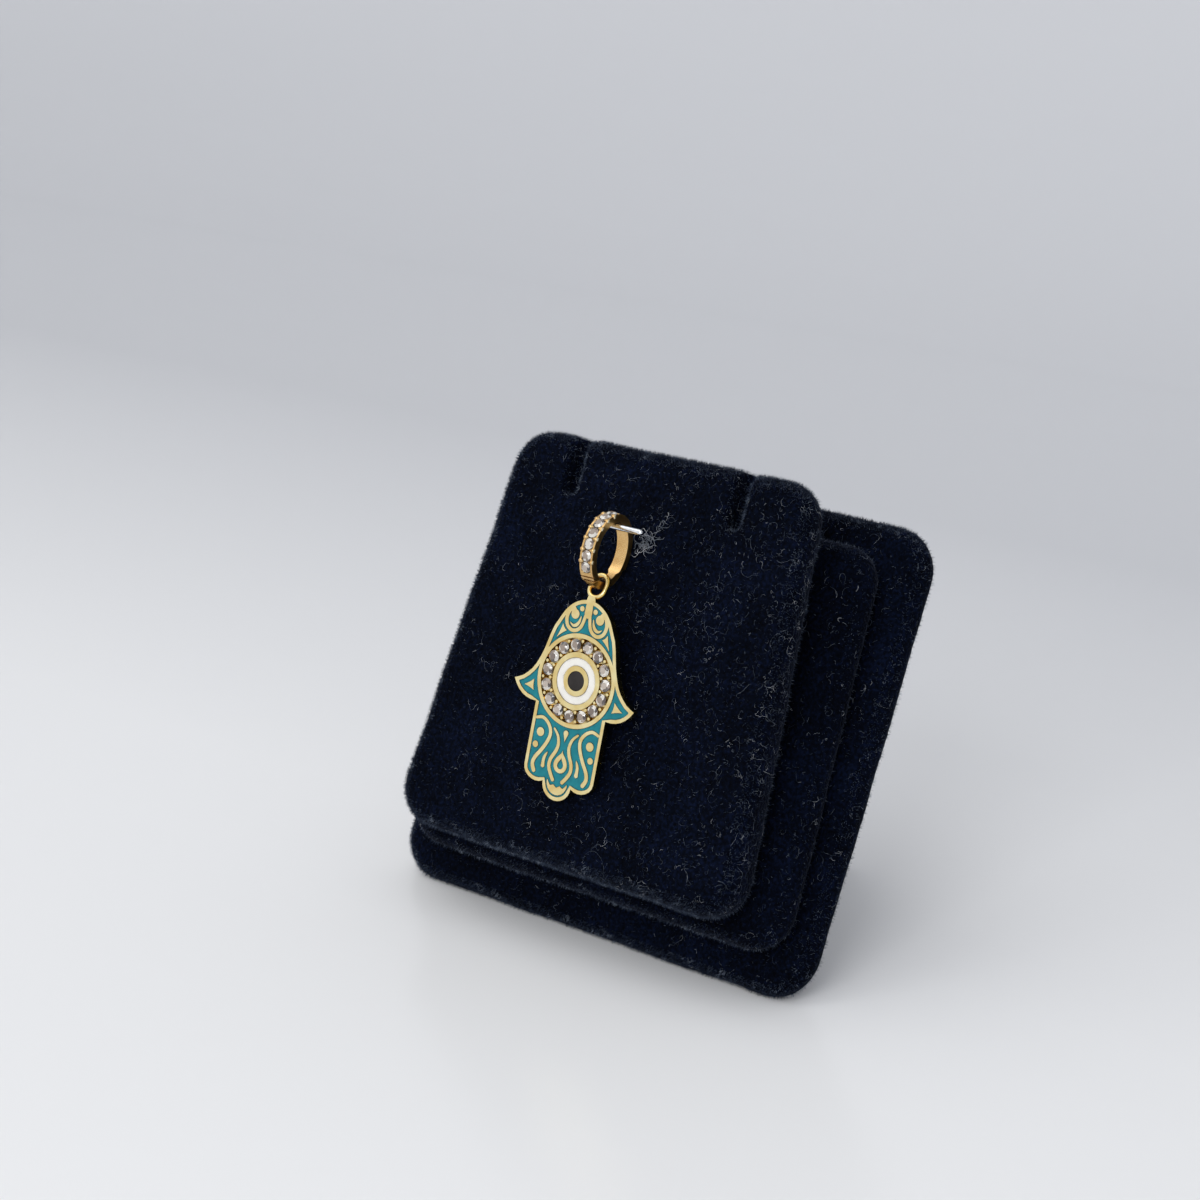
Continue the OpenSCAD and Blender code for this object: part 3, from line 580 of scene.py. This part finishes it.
# How bright the facets flash: the table has one of TABLE_FLASHES, each eighth of the rest has one of
# GLINTS, and the girdle is even
TABLE_FLASHES = (0.3, 0.45, 0.65)
GLINTS = (0.0, 0.1, 0.2, 0.4, 0.6, 1.0, 1.0, 1.0)
GIRDLE_FLASH = 0.3

# The hoop's rim beads in mm: their radius, and how far their middles lie in from the hoop's sides and
# down from the stones' girdles
BEAD_RADIUS = 0.27
BEAD_IN = 0.12
BEAD_DOWN = 0.04


def round_cut(centre, out, radius, twist, pale, rng):
    """A round brilliant: table, 8 kites, 8 star and 16 girdle facets, and 8 pavilion mains, as points,
    faces and the flash of each face. White flashes are as common as pale says."""
    side = Matrix.Rotation(twist, 3, out) @ out.orthogonal().normalized()
    other = out.cross(side)
    points = []

    def ring(count, r, first, z):
        """count points on a ring of radius r at height z, both in girdle radii, from first degrees on."""
        start = len(points)
        for i in range(count):
            a = math.radians(first + 360 * i / count)
            points.append(centre + radius * (r * (math.cos(a) * side + math.sin(a) * other) + z * out))
        return [start + i for i in range(count)]

    table = ring(8, 0.56, 0, 0.34)
    kite = ring(8, 0.8, 22.5, 0.19)
    top = ring(16, 1.0, 0, 0.04)
    low = ring(16, 1.0, 0, -0.04)
    knee = ring(8, 0.5, 0, -0.42)
    culet = ring(1, 0, 0, -0.74)[0]
    faces = [table]
    for i in range(8):
        j = (i + 1) % 8
        a, b, c = 2 * i, 2 * i + 1, (2 * i + 2) % 16
        faces += [(table[i], kite[i], table[j]), (table[i], kite[i - 1], top[a], kite[i]),
                  (kite[i], top[a], top[b]), (kite[i], top[b], top[c]), (knee[i], culet, knee[j]),
                  (low[a], knee[i], low[b]), (low[b], knee[i], knee[j]), (low[b], knee[j], low[c])]
    faces += [(top[i], low[i], low[(i + 1) % 16], top[(i + 1) % 16]) for i in range(16)]
    flash = [rng.choice(TABLE_FLASHES) ** (1 - pale)]
    glints = list(GLINTS)
    rng.shuffle(glints)
    for glint in glints:
        flash += [glint ** (1 - pale)] * 8
    flash += [GIRDLE_FLASH] * 16
    return points, faces, flash


def set_stones(prefix, count, body, grow, pale):
    """One faceted stone for each CAD stone of a row, grown a little so that it fills its setting."""
    rng = random.Random(count)
    for i in range(1, count + 1):
        cad = f"{prefix}_{i}"
        centre, out, radius = stone_frame(cad)
        twist = rng.uniform(0, 0.8)
        points, faces, flash = round_cut(centre, out, radius * grow, twist, pale, rng)
        made = from_parts(cad + "_cut", points, faces, STONE, smooth=False)
        shaped = bmesh.new()
        shaped.from_mesh(made.data)
        bmesh.ops.recalc_face_normals(shaped, faces=shaped.faces)
        shaped.to_mesh(made.data)
        shaped.free()
        made.data.attributes.new("flash", "FLOAT", "FACE").data.foreach_set("value", flash)
        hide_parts(cad)
        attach(made, body)


def rim_beads():
    """Polished beads that hold the hoop's stones, along both of its rims, so that the rims look
    scalloped."""
    low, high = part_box("bail")
    stones = [stone_frame(f"bail_stone_{i}") for i in range(1, STONES_ON_BAIL + 1)]
    shaped = bmesh.new()
    for (one, one_out, _), (two, two_out, _) in zip(stones, stones[1:]):
        middle = (one + two) / 2 - (one_out + two_out).normalized() * BEAD_DOWN * MM
        for x in (low.x + BEAD_IN * MM, high.x - BEAD_IN * MM):
            place = Matrix.Translation((x, middle.y, middle.z))
            bmesh.ops.create_icosphere(shaped, subdivisions=2, radius=BEAD_RADIUS * MM, matrix=place)
    mesh = bpy.data.meshes.new("bail_beads")
    shaped.to_mesh(mesh)
    shaped.free()
    mesh.materials.append(GOLD_BAIL)
    mesh.shade_smooth()
    made = linked("bail_beads", mesh)
    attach(made, "bail")


rim_beads()
set_stones("bail_stone", STONES_ON_BAIL, "bail", grow=1.15, pale=0.45)
set_stones("eye_stone", STONES_ON_EYE, "hand", grow=1.04, pale=0.05)


# Floor, light and camera

# The table's front edge, where it turns up and its half width, and the backdrop's cove and top, in metres
FRONT = -0.6
BACK = 0.25
HALF = 1.2
COVE = 0.25
COVE_TURNS = np.linspace(0.1, 1.57, 12)
TOP = 1.2
# A hair below the stand, so that the two share no plane
FLOOR_DROP = 0.00002


def floor():
    """A pale table that runs up into a backdrop."""
    profile = [(FRONT, 0), (BACK, 0)]
    profile += [(BACK + COVE * math.sin(turn), COVE - COVE * math.cos(turn)) for turn in COVE_TURNS]
    profile += [(BACK + COVE, TOP)]
    points = [(x, y, z - FLOOR_DROP) for y, z in profile for x in (-HALF, HALF)]
    faces = [(2 * i, 2 * i + 1, 2 * i + 3, 2 * i + 2) for i in range(len(profile) - 1)]
    return from_parts("floor", points, faces, material("table", laminate))


floor()


def area_light(name, place, target, size, power):
    """A soft white rectangular light that faces target."""
    data = bpy.data.lights.new(name, "AREA")
    data.shape = "RECTANGLE"
    data.size, data.size_y = size
    data.energy = power
    made = linked(name, data)
    made.location = place
    made.rotation_euler = (Vector(target) - Vector(place)).to_track_quat("-Z", "Y").to_euler()


area_light("front", place=(0.1, -0.45, 0.35), target=(0, 0, 0.03), size=(0.25, 0.2), power=0.8)
area_light("key", place=(-0.16, -0.1, 0.45), target=(0, 0, 0.02), size=(0.3, 0.3), power=0.25)

# An even white tent, brighter on its left
world = bpy.data.worlds.new("studio")
world.use_nodes = True
sky = world.node_tree
way = add(sky, "TexCoord", out="Generated")
across = add(sky, "SeparateXYZ", links={"Vector": way}, out="X")
share = add(sky, "MapRange", {"From Min": -1}, {"Value": across})
stops = [(0.0, "#ffffff"), (0.5, "#e4e6ea"), (1.0, "#a9adb6")]
tent = add(sky, "ValToRGB", {"stops": stops}, {"Fac": share})
sky.links.new(tent, sky.nodes["Background"].inputs["Color"])
sky.nodes["Background"].inputs["Strength"].default_value = 1.0
bpy.context.scene.world = world

# The photo's camera: its place in mm, its heading, pitch and roll, and its lens and sensor in mm
CAMERA_PLACE = (136.88, -193.96, 114.88)
HEADING, PITCH, ROLL = math.radians(-36.99), math.radians(-18.93), math.radians(0.66)
LENS, SENSOR = 72, 36
forward = Vector((math.sin(HEADING) * math.cos(PITCH),
                  math.cos(HEADING) * math.cos(PITCH),
                  math.sin(PITCH)))
right = Vector((math.cos(HEADING), -math.sin(HEADING), 0))
up = right.cross(forward)
turned_right = math.cos(ROLL) * right + math.sin(ROLL) * up
turned_up = math.cos(ROLL) * up - math.sin(ROLL) * right
basis = Matrix((turned_right, turned_up, -forward)).transposed().to_4x4()
lens = bpy.data.cameras.new("camera")
lens.sensor_width = SENSOR
lens.sensor_fit = "HORIZONTAL"
lens.lens = LENS
lens.clip_start = 0.01
camera = linked("camera", lens)
camera.matrix_world = Matrix.Translation(Vector(CAMERA_PLACE) * MM) @ basis
bpy.context.scene.camera = camera
bpy.context.scene.view_settings.view_transform = "Standard"
